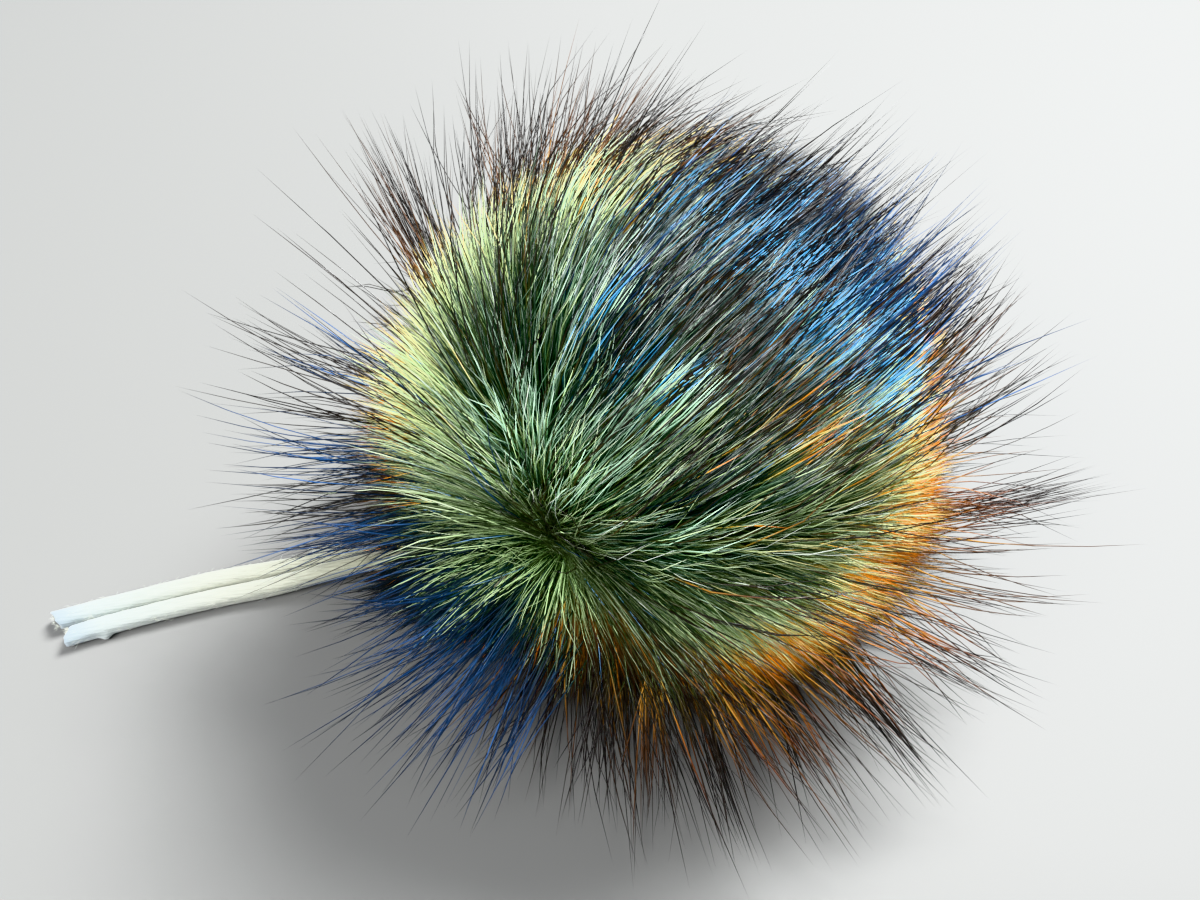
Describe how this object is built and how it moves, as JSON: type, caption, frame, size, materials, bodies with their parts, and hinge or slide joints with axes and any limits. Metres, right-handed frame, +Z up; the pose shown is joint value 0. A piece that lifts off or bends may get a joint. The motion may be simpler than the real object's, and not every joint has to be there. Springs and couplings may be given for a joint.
{
  "type": "pom pom",
  "caption": "Long-pile faux-fur ball lying on its side, its pile running away from a gathered dent, with a soft cotton tie to fasten it by.",
  "frame": {"origin": "middle of the flat spot under the ball, on the surface that it rests on", "axes": "+Z up from the surface; the gather faces -Y and -X, and the tie lies out along -X"},
  "size_m": [0.2099, 0.1489, 0.1186],
  "materials": {
    "faux_fur": "long glossy pile, olive green at the root, ochre and rust in the middle, black and blue at the tips",
    "tie_cotton": "matt, soft and slightly felted"
  },
  "bodies": {
    "root": {"fur_ball": "faux_fur", "tie_strand_upper": "tie_cotton", "tie_strand_lower": "tie_cotton"}
  },
  "joints": []
}
